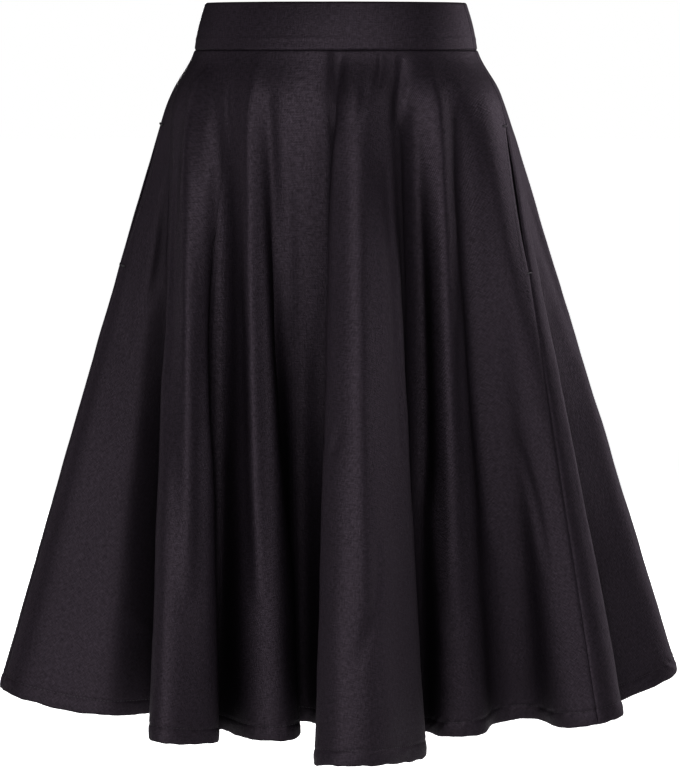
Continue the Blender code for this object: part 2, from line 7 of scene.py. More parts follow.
import bpy
import numpy as np
from mathutils import Vector, noise
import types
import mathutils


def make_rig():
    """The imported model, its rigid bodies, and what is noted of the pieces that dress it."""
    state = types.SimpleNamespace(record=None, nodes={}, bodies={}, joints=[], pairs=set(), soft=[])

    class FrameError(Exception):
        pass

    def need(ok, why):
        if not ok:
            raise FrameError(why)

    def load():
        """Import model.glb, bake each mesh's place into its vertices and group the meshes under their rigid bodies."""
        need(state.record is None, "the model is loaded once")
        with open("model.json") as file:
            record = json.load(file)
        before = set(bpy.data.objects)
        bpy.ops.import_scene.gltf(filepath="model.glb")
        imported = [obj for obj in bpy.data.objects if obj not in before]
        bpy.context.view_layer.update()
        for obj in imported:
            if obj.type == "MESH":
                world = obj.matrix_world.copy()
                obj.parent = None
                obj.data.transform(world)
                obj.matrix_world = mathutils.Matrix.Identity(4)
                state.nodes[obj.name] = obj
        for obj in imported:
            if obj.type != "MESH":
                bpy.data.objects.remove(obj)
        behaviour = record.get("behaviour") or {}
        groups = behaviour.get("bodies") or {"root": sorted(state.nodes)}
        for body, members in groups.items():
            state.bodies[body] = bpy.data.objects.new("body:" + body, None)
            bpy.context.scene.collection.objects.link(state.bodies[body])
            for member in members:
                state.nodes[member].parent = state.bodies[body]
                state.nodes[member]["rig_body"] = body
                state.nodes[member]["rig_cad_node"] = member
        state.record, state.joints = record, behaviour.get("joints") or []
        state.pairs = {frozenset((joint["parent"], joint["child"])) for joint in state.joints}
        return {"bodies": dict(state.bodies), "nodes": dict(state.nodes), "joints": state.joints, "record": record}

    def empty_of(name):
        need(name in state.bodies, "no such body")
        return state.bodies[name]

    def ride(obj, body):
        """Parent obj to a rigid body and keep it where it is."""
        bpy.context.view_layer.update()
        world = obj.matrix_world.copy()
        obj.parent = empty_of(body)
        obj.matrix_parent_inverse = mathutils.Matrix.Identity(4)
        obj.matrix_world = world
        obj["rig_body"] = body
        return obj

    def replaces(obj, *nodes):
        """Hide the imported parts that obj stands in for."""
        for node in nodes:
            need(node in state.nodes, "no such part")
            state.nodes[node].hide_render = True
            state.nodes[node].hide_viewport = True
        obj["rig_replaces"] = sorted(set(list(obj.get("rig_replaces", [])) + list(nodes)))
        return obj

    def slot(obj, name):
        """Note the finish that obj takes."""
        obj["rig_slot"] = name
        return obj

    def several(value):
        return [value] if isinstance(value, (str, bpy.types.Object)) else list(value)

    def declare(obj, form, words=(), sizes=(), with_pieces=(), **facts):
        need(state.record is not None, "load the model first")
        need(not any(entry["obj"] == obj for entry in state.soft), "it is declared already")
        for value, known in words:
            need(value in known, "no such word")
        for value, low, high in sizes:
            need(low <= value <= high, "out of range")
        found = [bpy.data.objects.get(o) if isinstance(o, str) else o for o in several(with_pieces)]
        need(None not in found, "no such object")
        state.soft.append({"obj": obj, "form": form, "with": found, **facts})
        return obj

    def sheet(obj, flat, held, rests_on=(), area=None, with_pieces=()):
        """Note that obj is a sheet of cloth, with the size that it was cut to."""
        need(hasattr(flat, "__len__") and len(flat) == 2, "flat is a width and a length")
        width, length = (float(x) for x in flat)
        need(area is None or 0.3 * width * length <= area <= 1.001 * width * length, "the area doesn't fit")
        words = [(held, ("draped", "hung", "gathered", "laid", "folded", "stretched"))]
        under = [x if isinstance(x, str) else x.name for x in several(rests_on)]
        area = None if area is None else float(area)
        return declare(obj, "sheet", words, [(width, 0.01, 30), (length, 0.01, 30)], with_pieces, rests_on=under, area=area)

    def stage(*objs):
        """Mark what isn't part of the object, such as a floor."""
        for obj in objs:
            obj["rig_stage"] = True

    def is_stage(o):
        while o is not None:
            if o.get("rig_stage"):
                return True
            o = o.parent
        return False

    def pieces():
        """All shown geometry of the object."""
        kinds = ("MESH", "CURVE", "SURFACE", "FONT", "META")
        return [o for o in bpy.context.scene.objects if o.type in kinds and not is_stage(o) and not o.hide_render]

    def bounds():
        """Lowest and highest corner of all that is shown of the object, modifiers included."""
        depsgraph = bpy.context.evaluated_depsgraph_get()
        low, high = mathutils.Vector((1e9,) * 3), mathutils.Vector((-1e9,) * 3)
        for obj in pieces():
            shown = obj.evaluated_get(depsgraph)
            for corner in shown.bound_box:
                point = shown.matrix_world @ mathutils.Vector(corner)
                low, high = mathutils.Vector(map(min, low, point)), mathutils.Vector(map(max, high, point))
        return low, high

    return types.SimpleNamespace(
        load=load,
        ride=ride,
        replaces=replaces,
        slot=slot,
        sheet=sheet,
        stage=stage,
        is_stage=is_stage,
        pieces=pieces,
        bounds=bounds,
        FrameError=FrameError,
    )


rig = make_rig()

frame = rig.load()
cad_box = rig.bounds()

MM = 0.001

# The garment's own sizes, as its CAD model has them
BAND_HEIGHT = 47 * MM
BAND_TOP_HALF_WIDTH = 130 * MM
BAND_TOP_HALF_DEPTH = 97 * MM
SEAM_HALF_WIDTH = 141.5 * MM
SEAM_HALF_DEPTH = 107 * MM
BAND_WALL = 2.6 * MM
BAND_CROWN = 1.2 * MM
CUT_LENGTH = 687 * MM
CLOTH_WALL = 1.1 * MM
HEM_DEPTH = 17 * MM
HEM_WALL = 2.4 * MM
HIP_SWELL = 13 * MM
HIP_FALL = 38 * MM
HEM_HALF_WIDTH = 347 * MM
HEM_HALF_DEPTH = 190 * MM
START_SOFTNESS = 0.035
SEAM_GAP = 0.3 * MM
POCKET_TOP = 82 * MM
POCKET_OPENING = 148 * MM
POCKET_GAPE = 5 * MM
POCKET_REACH = 60 * MM  # how far from the slit the cloth gives way to its gape
POCKET_BOTTOM = -285 * MM
POCKET_FULLNESS = 11 * MM
BAG_THIN = 1.6 * MM  # the bag's fullness at its top and bottom, where it lies flat
BAG_EASE = 26 * MM  # how far from its top and bottom the bag is full
BAG_WALL = 0.6 * MM
LIP_OVERLAP = 2.5 * MM  # how far the bag's mouth reaches past the slit's edges
RIGHT_SIDE_SEAM = 176.0
LEFT_SIDE_SEAM = 346.0
CENTRE_BACK = 450.0

ZIP_DEPTH = 172 * MM
ZIP_TAPE_WIDTH = 10 * MM
ZIP_TAPE_WALL = 0.8 * MM
COIL_RADIUS = 0.42 * MM
COIL_PITCH = 1.3 * MM
COIL_SPAN = (0.15, 2.0)  # millimetres from the centre back that each turn of the coil covers

# Threads and the edges behind the seams
STITCH_LENGTH = 2.7 * MM
STITCH_GAP = 0.8 * MM
THREAD_RADIUS = 0.24 * MM
STITCH_ABOVE_HEM = 15.4 * MM
POCKET_STITCH_IN = 5 * MM
TACK_LENGTH = 12 * MM
TACK_WIDTH = 2.4 * MM
TACK_THREAD_RADIUS = 0.36 * MM
SEAM_ALLOWANCE = 9 * MM
ALLOWANCE_WALL = 0.7 * MM
SEAM_SEARCH = 6  # degrees to either side of a seam that what lies behind it stays within

# The cut: the skirt is laid flat as a ring round the waist, less what it lacks of a full circle
CUT_WAIST_RADIUS = 218 * MM

# Fineness of the cloth's shells
ARC_STEP = math.radians(8)
LEAST_TURN = math.radians(40)
HEM_STEP = 6 * MM
HEM_BLEND = 4  # steps over which the waist angles and fold starts even out
COLUMN_SPAN = 8 * MM
COLUMN_TURN = math.radians(9)
BODY_ROWS = 112
EDGE_DEGREES = (0.06, 0.14, 0.26, 0.42, 0.65)  # extra columns beside each seam
EDGE_CLEAR = 0.15  # degrees between those and the even columns
FALL_STEPS = 276  # how finely a grain line's fall is added up
SEAM_ROLL = 0.7 * MM  # how far a sewn edge rolls in
SEAM_ROLL_REACH = 1.8 * MM

HemBend = namedtuple("HemBend", "name x y bend waist start")
HEM_BENDS = (
    HemBend("right_hip_edge", -349, 26, 34, 176, 30),
    HemBend("right_side", -262, -6, 170, 182, 40),
    HemBend("valley_1", -164, 20, 22, 189, 45),
    HemBend("fold_1_outer", -179, -134, 17, 198, 60),
    HemBend("fold_1_inner", -117, -106, 22, 222, 40),
    HemBend("valley_2", -130, -42, 12, 231, 30),
    HemBend("fold_2", -62, -90, 44, 239, 26),
    HemBend("fold_2_edge", -34, -72, 12, 245, 26),
    HemBend("valley_3", -40, -20, 13, 253, 30),
    HemBend("valley_3_turn", -3, -56, 13, 266, 8),
    HemBend("fold_3_outer", -19, -234, 18, 270, 4),
    HemBend("fold_3", 24, -250, 50, 278, 8),
    HemBend("fold_3_inner", 87, -172, 34, 288, 12),
    HemBend("valley_4", 80, -50, 12, 293, 18),
    HemBend("fold_4", 120, -78, 30, 306, 34),
    HemBend("fold_4_edge", 150, -64, 14, 311, 40),
    HemBend("valley_5", 178, -20, 30, 319, 45),
    HemBend("fold_5", 264, -72, 42, 347, 60),
    HemBend("fold_5_edge", 288, -34, 14, 353, 60),
    HemBend("valley_6", 280, 6, 16, 358, 50),
    HemBend("left_hip_edge", 359, 84, 26, 368, 40),
    HemBend("back_valley_1", 258, 120, 30, 378, 45),
    HemBend("back_fold_1", 252, 204, 38, 391, 40),
    HemBend("back_valley_2", 182, 134, 26, 405, 36),
    HemBend("back_fold_2", 138, 242, 34, 420, 22),
    HemBend("back_valley_3", 82, 108, 24, 434, 18),
    HemBend("back_fold_3", 12, 238, 50, 449, 34),
    HemBend("back_valley_4", -54, 140, 24, 464, 40),
    HemBend("back_fold_4", -104, 222, 34, 477, 30),
    HemBend("back_valley_5", -160, 122, 26, 492, 24),
    HemBend("back_fold_5", -226, 204, 38, 507, 36),
    HemBend("back_valley_6", -250, 112, 28, 520, 40),
)

# Creases pressed or pulled into the cloth. Each runs from one place to another, given as
# degrees round the waist and millimetres down the cloth; width is how far it reaches to
# each side, rise how far it stands out, or in if negative, and bow how far it sags sideways
Crease = namedtuple("Crease", "waist depth to_waist to_depth width rise bow")
CREASES = (
    # the folds as they leave the waist, before the hem's waves take over: right side to left
    Crease(187, 140, 182.5, 275, 7, -2.6, 1),
    Crease(178.5, 300, 182, 322, 5, 1.2, 0),
    Crease(184, 580, 187, 602, 6, 1.0, 0),
    Crease(197, 85, 197, 320, 6, -3.4, 0),
    Crease(212, 75, 204, 190, 4, 1.2, 0),
    Crease(213, 18, 214, 62, 8, 2.4, 0),
    Crease(202, 90, 201.5, 420, 8, -4.0, 0),
    Crease(211, 34, 209.5, 540, 9, 7.0, 0),
    Crease(228.5, 30, 235, 105, 5, -2.4, -1),
    Crease(225, 44, 227.5, 430, 13, -11.0, 0),
    Crease(238.5, 18, 239.5, 540, 8, 7.0, 0),
    Crease(245.5, 46, 247, 500, 8, -8.0, 0),
    Crease(253, 80, 255, 380, 10, 2.4, 0),
    Crease(262, 120, 261, 300, 8, -2.4, 0),
    Crease(272, 2, 267.5, 110, 6, -4.4, 0),
    Crease(267, 70, 265, 440, 11, -9.0, 0),
    Crease(276.5, 12, 277.5, 540, 13, 5.0, 0),
    Crease(288, 2, 281, 54, 4, -2.4, 1.5),
    Crease(280.5, 30, 276, 80, 5, -1.6, 1),
    Crease(269, 370, 271.5, 402, 4, -1.4, 0),
    Crease(274, 366, 271.5, 402, 4, -1.4, 0),
    Crease(280, 472, 276.5, 595, 7, -2.6, 1.5),
    Crease(286, 110, 286, 400, 7, -2.8, 0),
    Crease(297, 6, 290, 74, 6, -3.6, 0),
    Crease(291.5, 70, 292, 300, 6, 2.6, 0),
    Crease(298, 56, 298.5, 440, 10, -9.0, 0),
    Crease(307, 26, 306, 560, 9, 6.4, 0),
    Crease(315, 56, 317, 500, 11, -8.0, 0),
    Crease(331, 60, 334, 430, 18, 3.4, 0),
    Crease(331, 400, 338, 520, 6, -2.4, 1.5),
    Crease(350.5, 310, 351.5, 650, 6, 1.5, 0),
    # and the hidden back, which hangs in folds of the same kind
    Crease(362, 150, 366, 330, 8, -2.2, 1),
    Crease(378, 60, 379, 440, 13, -5.6, 0),
    Crease(391, 44, 390, 500, 11, 5.6, 0),
    Crease(399, 20, 395, 96, 6, 2.0, 1),
    Crease(405, 36, 406, 460, 11, -7.0, 0),
    Crease(412.5, 130, 414, 300, 8, -2.0, 0),
    Crease(420, 22, 421, 540, 10, 6.4, 0),
    Crease(427, 8, 430.5, 84, 5, -2.6, 1),
    Crease(434, 26, 433.5, 430, 10, -7.2, 0),
    Crease(441, 90, 440.5, 380, 12, 2.6, 0),
    Crease(459, 60, 458, 350, 10, 2.2, 0),
    Crease(464.5, 30, 464, 450, 11, -6.4, 0),
    Crease(477, 22, 477.5, 540, 10, 6.2, 0),
    Crease(484, 10, 480.5, 78, 6, -2.4, -1),
    Crease(492, 34, 491, 470, 11, -6.6, 0),
    Crease(499, 340, 503, 470, 7, -2.2, 1.5),
    Crease(507, 46, 506, 490, 12, 5.4, 0),
    Crease(520, 70, 521, 400, 12, -4.6, 0),
)


# ---------------------------------------------------------------- the hem curve

def left_of(heading):
    """The unit direction to the left of a heading angle."""
    return np.array((-math.sin(heading), math.cos(heading)))


def rounded_outline(bends):
    """The closed outline of arcs through the bends, and the index halfway round each arc."""
    tips = np.array([(bend.x, bend.y) for bend in bends], float) * MM
    before, after = np.roll(tips, 1, axis=0) - tips, np.roll(tips, -1, axis=0) - tips
    side = np.sign(after[:, 0] * before[:, 1] - after[:, 1] * before[:, 0])
    inward = before / np.linalg.norm(before, axis=1, keepdims=True)
    inward += after / np.linalg.norm(after, axis=1, keepdims=True)
    inward /= np.linalg.norm(inward, axis=1, keepdims=True)
    radius = np.array([bend.bend for bend in bends]) * MM
    centres = tips + inward * radius[:, None]
    signed = side * radius
    span = np.roll(centres, -1, axis=0) - centres
    offset = (np.roll(signed, -1) - signed) / np.linalg.norm(span, axis=1)
    leaving = np.arctan2(span[:, 1], span[:, 0]) - np.arcsin(np.clip(offset, -0.95, 0.95))
    outline, middles = [], []
    for i in range(len(bends)):
        turn = side[i] * (leaving[i] - leaving[i - 1])
        turn = (turn + LEAST_TURN) % (2 * math.pi) - LEAST_TURN
        steps = max(4, int(abs(turn) / ARC_STEP))
        middles.append(len(outline) + steps // 2)
        for step in range(steps + 1):
            heading = leaving[i - 1] + side[i] * turn * step / steps
            outline.append(centres[i] - signed[i] * left_of(heading))
    return np.array(outline), middles


def smooth_round(values, width):
    """A closed row of values, averaged over about width samples to either side."""
    reach = int(math.ceil(3 * width))
    offsets = range(-reach, reach + 1)
    weights = [math.exp(-0.5 * (offset / width) ** 2) for offset in offsets]
    total = sum(
        np.roll(values, -offset, axis=0) * weight for offset, weight in zip(offsets, weights)
    )
    return total / sum(weights)


class Hem:
    """The hem's smooth curve, and for each point on it the waist angle and the fold's start."""

    def __init__(self, bends):
        outline, middles = rounded_outline(bends)
        closed = np.vstack([outline, outline[:1]])
        along = np.concatenate([[0], np.cumsum(np.linalg.norm(np.diff(closed, axis=0), axis=1))])
        self.length = along[-1]
        self.count = int(self.length / HEM_STEP)
        at = np.arange(self.count) / self.count * self.length
        points = smooth_round(
            np.column_stack([np.interp(at, along, closed[:, k]) for k in (0, 1)]), 1.4
        )
        bend_at = along[middles]
        bend_at = np.append(bend_at, bend_at[0] + self.length)
        waist = np.array([bend.waist for bend in bends] + [bends[0].waist + 360], float)
        start = np.array([bend.start for bend in bends] + [bends[0].start], float) * MM
        later = np.where(at < bend_at[0], at + self.length, at)
        steady = np.interp(later, bend_at, waist) - later / self.length * 360
        waist = smooth_round(steady, HEM_BLEND) + later / self.length * 360
        start = smooth_round(np.interp(later, bend_at, start), HEM_BLEND)
        order = np.argsort(later)
        self.points, self.waist, self.start = points[order], waist[order], start[order]
        self.along = later[order]

    def sample(self, waist_degrees):
        """Points, fold starts and lengths along the hem, where these grain lines end."""
        low = self.waist[0]
        wrapped = (np.asarray(waist_degrees, float) - low) % 360 + low
        at = np.interp(wrapped, np.append(self.waist, low + 360), np.arange(self.count + 1))
        values = np.column_stack([self.points, self.start])
        values = np.vstack([values, values[:1]])
        found = [np.interp(at, np.arange(self.count + 1), values[:, k]) for k in range(3)]
        return np.column_stack(found[:2]), found[2]

    def length_at(self, waist_degrees):
        """How far along the hem these grain lines end."""
        waist = np.concatenate([self.waist, self.waist + 360])
        along = np.concatenate([self.along, self.along + self.length])
        return np.interp(waist_degrees, waist, along)

    def columns(self, first, last):
        """Waist angles between two seams, closer together where the hem bends and at the seams."""
        edge = np.roll(self.points, -1, axis=0) - self.points
        heading = np.unwrap(np.arctan2(edge[:, 1], edge[:, 0]))
        turn = np.abs(np.roll(heading, -1) - heading)
        turn = np.minimum(turn, 2 * math.pi - turn)
        weight = np.linalg.norm(edge, axis=1) / COLUMN_SPAN + turn / COLUMN_TURN
        weight = smooth_round(weight, 2)
        waist = np.concatenate([self.waist, self.waist + 360, self.waist[:1] + 720])
        total = np.concatenate([[0], np.cumsum(np.tile(weight, 2))])
        low, high = np.interp([first, last], waist, total)
        even = np.interp(np.linspace(low, high, int(high - low) + 1), total, waist)
        clear = EDGE_DEGREES[-1] + EDGE_CLEAR
        even = even[(even > first + clear) & (even < last - clear)]
        beside = np.array((0, *EDGE_DEGREES))
        return np.concatenate([first + beside, even, last - beside[::-1]])


HEM = Hem(HEM_BENDS)


# ---------------------------------------------------------------- the cloth's surface

def bell(distance, width):
    """1 at no distance, falling softly away over about this width."""
    return np.exp(-((distance / width) ** 2))


def hull_radii(depth):
    """Half width and half depth of the skirt's smooth body at a depth below the waist seam."""
    swell = HIP_SWELL * (1 - bell(depth, HIP_FALL))
    share = depth / CUT_LENGTH
    half_width = SEAM_HALF_WIDTH + (HEM_HALF_WIDTH - SEAM_HALF_WIDTH - HIP_SWELL) * share
    half_depth = SEAM_HALF_DEPTH + (HEM_HALF_DEPTH - SEAM_HALF_DEPTH - HIP_SWELL) * share
    return half_width + swell, half_depth + swell


def fold_share(depth, start):
    """How much of a fold is there: none at the waist seam, all at the hem."""
    def ramp(at):
        gone = (at - start) / (CUT_LENGTH - start)
        return (gone + np.sqrt(gone**2 + START_SOFTNESS**2)) / 2
    return (ramp(depth) - ramp(0.0)) / (ramp(CUT_LENGTH) - ramp(0.0))


def skirt_surface(waist_degrees, depths):
    """Outer points of the cloth, one row for each depth and one column for each grain line."""
    hem_points, start = HEM.sample(waist_degrees)
    angle = np.radians(waist_degrees)
    fine = np.linspace(0, CUT_LENGTH, FALL_STEPS)
    half_width, half_depth = hull_radii(fine)
    cosine, sine = np.cos(angle), np.sin(angle)
    share = fold_share(fine[:, None], start[None, :])
    x = half_width[:, None] * cosine + share * (hem_points[:, 0] - half_width[-1] * cosine)
    y = half_depth[:, None] * sine + share * (hem_points[:, 1] - half_depth[-1] * sine)
    step = fine[1] - fine[0]
    slope = np.hypot(np.diff(x, axis=0), np.diff(y, axis=0)) / step
    fall = np.sqrt(np.maximum(1 - slope**2, 0.05)) * step
    z = -np.vstack([np.zeros(len(angle)), np.cumsum(fall, axis=0)]) - BAND_HEIGHT / 2
    grid = np.empty((len(depths), len(angle), 3))
    for k, values in enumerate((x, y, z)):
        for column in range(len(angle)):
            grid[:, column, k] = np.interp(depths, fine, values[:, column])
    return grid


def surface_line(waist_degrees, depths):
    """Points of the cloth's surface, each at its own waist angle and depth."""
    places = skirt_surface(waist_degrees, depths)
    index = np.arange(len(depths))
    return places[index, index]


def grid_normals(grid):
    """Unit normals of a grid of points, outward where rows run down and columns to the left."""
    down, along = np.gradient(grid, axis=0), np.gradient(grid, axis=1)
    normal = np.cross(down, along)
    return normal / np.maximum(np.linalg.norm(normal, axis=2, keepdims=True), 1e-12)


def line_lengths(points):
    """Length along a line of points from its first."""
    return np.concatenate([[0], np.cumsum(np.linalg.norm(np.diff(points, axis=0), axis=1))])


def run_along(grid):
    """Length along each row of a grid from its first column."""
    steps = np.linalg.norm(np.diff(grid, axis=1), axis=2)
    return np.concatenate([np.zeros((len(grid), 1)), np.cumsum(steps, axis=1)], axis=1)


def drawn_back(grid, amount, reach):
    """The grid with its first column drawn back along the rows, the rest giving way to it."""
    run = run_along(grid)
    out = np.empty_like(grid)
    for row in range(len(grid)):
        near = run[row] < reach
        at = np.where(near, amount[row] + run[row] * (reach - amount[row]) / reach, run[row])
        for k in range(3):
            out[row, :, k] = np.interp(at, run[row], grid[row, :, k])
    return out


def pocket_gape(depths):
    """How far a pocket slit's front edge stands off at each depth, most above its middle."""
    share = np.clip((depths - POCKET_TOP) / POCKET_OPENING, 0, 1)
    return POCKET_GAPE * np.sin(math.pi * share**0.7) ** 0.9


# ---------------------------------------------------------------- relief of the cloth

def crease_relief(grid, columns, depths):
    """How far the creases lift each point of the grid."""
    relief = np.zeros(grid.shape[:2])
    for crease in CREASES:
        length = abs(crease.to_depth - crease.depth) + 3 * abs(crease.to_waist - crease.waist)
        share = np.linspace(0, 1, max(12, int(length / 3)))
        waist = crease.waist + (crease.to_waist - crease.waist) * share
        down = (crease.depth + (crease.to_depth - crease.depth) * share) * MM
        waist = waist + crease.bow * np.sin(math.pi * share)
        if waist.max() < columns[0] or waist.min() > columns[-1]:
            continue
        line = surface_line(waist, down)
        reach = 3 * crease.width * MM
        near_rows = np.flatnonzero((depths > down.min() - reach) & (depths < down.max() + reach))
        near_columns = np.flatnonzero((columns > waist.min() - 14) & (columns < waist.max() + 14))
        if not len(near_rows) or not len(near_columns):
            continue
        part = grid[np.ix_(near_rows, near_columns)]
        away = np.linalg.norm(part[:, :, None] - line, axis=3)
        nearest = away.argmin(axis=2)
        fade = np.sin(math.pi * (share * 0.96 + 0.02)) ** 0.6
        lift = crease.rise * MM * bell(away.min(axis=2), crease.width * MM)
        relief[np.ix_(near_rows, near_columns)] += lift * fade[nearest]
    return relief


def wander(grid, size, seed):
    """Soft noise on the grid's points, from -1 to 1, at about this size."""
    rows, columns = grid.shape[:2]
    flat = grid.reshape(-1, 3) / size
    shift = Vector((seed * 7.3, seed * 3.1, seed * 5.7))
    values = [noise.noise(Vector(point) + shift) for point in flat]
    return np.array(values).reshape(rows, columns)


def hem_relief(grid, depths):
    """The turn-up: a stitched hollow, slight fullness below it and small slanting puckers."""
    above_edge = (CUT_LENGTH - depths)[:, None]
    run = run_along(grid)
    stitch = -0.65 * MM * bell(above_edge - STITCH_ABOVE_HEM, 1.6 * MM)
    fullness = 0.55 * MM * bell(above_edge - 9 * MM, 6 * MM)
    strength = 0.55 + 0.9 * wander(grid, 60 * MM, 5)
    slant = run / (12 * MM) + above_edge / (14 * MM) + 1.6 * wander(grid, 35 * MM, 6)
    puckers = 0.62 * MM * np.sin(2 * math.pi * slant) * strength
    puckers *= bell(above_edge - 13 * MM, 9 * MM)
    edge = -0.8 * MM * bell(above_edge, 1.0 * MM)
    return stitch + fullness + puckers + edge


def hem_waver(grid, depths):
    """How far the hem's edge hangs below or above its even line."""
    above_edge = (CUT_LENGTH - depths)[:, None]
    waver = 1.6 * MM * wander(grid, 22 * MM, 9) + 0.9 * MM * wander(grid, 8 * MM, 11)
    return waver * bell(above_edge, 16 * MM)


def seam_relief(grid):
    """Sewn edges roll in at both sides of a panel."""
    run = run_along(grid)
    back = run[:, -1:] - run
    return -SEAM_ROLL * (bell(run, SEAM_ROLL_REACH) + bell(back, SEAM_ROLL_REACH))


def skirt_relief(grid, columns, depths):
    """Everything that lifts or sinks a panel's cloth from its smooth folds."""
    slow = 0.9 * MM * wander(grid, 70 * MM, 1) + 0.35 * MM * wander(grid, 24 * MM, 2)
    settle = np.clip(depths / (40 * MM), 0, 1)[:, None]
    top = -0.7 * MM * bell(depths, 1.2 * MM)[:, None]
    return (
        slow * settle + crease_relief(grid, columns, depths)
        + hem_relief(grid, depths) + seam_relief(grid) + top
    )


# ---------------------------------------------------------------- meshes

def quads(rows, columns):
    """Corner indices of a grid's faces."""
    row, column = np.meshgrid(np.arange(rows - 1), np.arange(columns - 1), indexing="ij")
    a = row * columns + column
    return np.stack([a, a + columns, a + columns + 1, a + 1], axis=-1).reshape(-1, 4)


def mesh_object(name, points, faces, finish, flat=None):
    """An object from points and faces of four corners; flat gives each point's place in the cut."""
    mesh = bpy.data.meshes.new(name)
    mesh.vertices.add(len(points))
    mesh.vertices.foreach_set("co", np.asarray(points, np.float32).ravel())
    faces = np.asarray(faces, np.int32)
    mesh.loops.add(faces.size)
    mesh.loops.foreach_set("vertex_index", faces.ravel())
    mesh.polygons.add(len(faces))
    starts = np.arange(0, faces.size, faces.shape[1], dtype=np.int32)
    mesh.polygons.foreach_set("loop_start", starts)
    if flat is not None:
        layer = mesh.uv_layers.new(name="cut")
        layer.data.foreach_set("uv", np.asarray(flat, np.float32)[faces.ravel()].ravel())
    mesh.update(calc_edges=True)
    mesh.validate()
    mesh.shade_smooth()
    mesh.materials.append(finish)
    made = bpy.data.objects.new(name, mesh)
    bpy.context.scene.collection.objects.link(made)
    return made


def shell(name, outer, inner, finish, flat):
    """A closed cloth wall between two grids of points."""
    rows, columns = outer.shape[:2]
    back = rows * columns
    points = np.concatenate([outer.reshape(-1, 3), inner.reshape(-1, 3)])
    front_faces = quads(rows, columns)
    index = np.arange(back).reshape(rows, columns)
    border = np.concatenate(
        [index[0], index[1:, -1], index[-1, -2::-1], index[-2:0:-1, 0]]
    )
    after = np.roll(border, -1)
    rim = np.stack([border, after, after + back, border + back], axis=1)
    faces = np.concatenate([front_faces, front_faces[:, ::-1] + back, rim])
    flat = np.tile(flat.reshape(-1, 2), (2, 1))
    return mesh_object(name, points, faces, finish, flat)


# ---------------------------------------------------------------- pieces

def skirt_depths():
    """Depths of the fine rings: close at the waist seam, at the stitch line and at the edge."""
    top = np.array([0.15, 0.7, 1.4, 2.4, 4.0, 6.5]) * MM
    body = np.linspace(10 * MM, CUT_LENGTH - 30 * MM, BODY_ROWS)
    hem = CUT_LENGTH - np.linspace(25, 1, 21) * MM
    return np.concatenate([top, body, hem, [CUT_LENGTH - 0.5 * MM, CUT_LENGTH]])


def cut_places(columns, depths):
    """Where each point of a panel lies in the flat cut, its middle grain line straight down."""
    along = HEM.length_at(columns)
    angle = (along - along.mean()) / (CUT_WAIST_RADIUS + CUT_LENGTH)
    radius = CUT_WAIST_RADIUS + depths
    return np.stack(
        [radius[:, None] * np.sin(angle), -radius[:, None] * np.cos(angle)], axis=2
    )


def soft_piece(made, slot, replaced=None):
    """Every piece of cloth or thread rides the skirt's one body and takes its finish."""
    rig.ride(made, "skirt")
    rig.slot(made, slot)
    if replaced:
        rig.replaces(made, replaced)
    return made


def sector_sheet(made, columns, with_pieces):
    """Declares a skirt panel as the part of a flat ring that it is cut from."""
    ends = HEM.length_at(np.array([columns[0], columns[-1]]))
    outer_radius = CUT_WAIST_RADIUS + CUT_LENGTH
    turn = float(ends[1] - ends[0]) / outer_radius
    half = min(turn, math.pi) / 2
    flat = (2 * outer_radius * math.sin(half), outer_radius - CUT_WAIST_RADIUS * math.cos(half))
    area = turn / 2 * (outer_radius**2 - CUT_WAIST_RADIUS**2)
    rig.sheet(made, flat=flat, held="hung", area=area, with_pieces=with_pieces)


def strip_sheet(made, grid, held, with_pieces=()):
    """Declares a piece cut as a plain strip, as wide and as long as its own surface."""
    width = max(float(run_along(grid)[:, -1].mean()), 10 * MM)
    length = float(run_along(grid.transpose(1, 0, 2))[:, -1].mean())
    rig.sheet(made, flat=(width, length), held=held, with_pieces=with_pieces)


def stitch_row(points, normals, length=STITCH_LENGTH, gap=STITCH_GAP, radius=THREAD_RADIUS):
    """Corners and faces of stitches laid end to end along a line of points."""
    run = line_lengths(points)
    middles = np.arange(length, run[-1] - length / 2, length + gap)

    def at(place, values):
        return np.column_stack([np.interp(place, run, values[:, k]) for k in range(3)])

    ends = [at(middles - length / 2, points), at(middles + length / 2, points)]
    return threads(ends[0], ends[1], at(middles, normals), radius)


def threads(starts, ends, normals, radius):
    """Corners and faces of short plump threads between pairs of points."""
    along = ends - starts
    across = np.cross(along, normals)
    across /= np.linalg.norm(across, axis=1, keepdims=True)
    up = np.cross(across, along)
    up /= np.linalg.norm(up, axis=1, keepdims=True)
    corners = []
    for share, plump in ((0.0, 0.35), (0.2, 0.9), (0.8, 0.9), (1.0, 0.35)):
        dip = -0.5 * radius if share in (0.0, 1.0) else 0.35 * radius
        middle = starts + along * share + normals * dip
        for turn in np.arange(6) * math.pi / 3:
            corners.append(
                middle + radius * plump * (math.cos(turn) * across + math.sin(turn) * up)
            )
    corners = np.stack(corners, axis=1)
    ring = np.arange(6)
    following = (ring + 1) % 6
    faces = [
        np.stack([ring + 6 * k, ring + 6 * k + 6, following + 6 * k + 6, following + 6 * k], axis=1)
        for k in range(3)
    ]
    faces.append(np.array([[0, 1, 2, 3], [0, 3, 4, 5], [21, 20, 19, 18], [23, 22, 21, 18]]))
    faces = np.concatenate(faces)[None] + 24 * np.arange(len(starts))[:, None, None]
    return corners.reshape(-1, 3), faces.reshape(-1, 4)


def sewn(name, rows, finish):
    """One piece from several rows of stitches."""
    points, faces, count = [], [], 0
    for row_points, row_faces in rows:
        points.append(row_points)
        faces.append(row_faces + count)
        count += len(row_points)
    made = mesh_object(name, np.concatenate(points), np.concatenate(faces), finish)
    return soft_piece(made, "cloth")


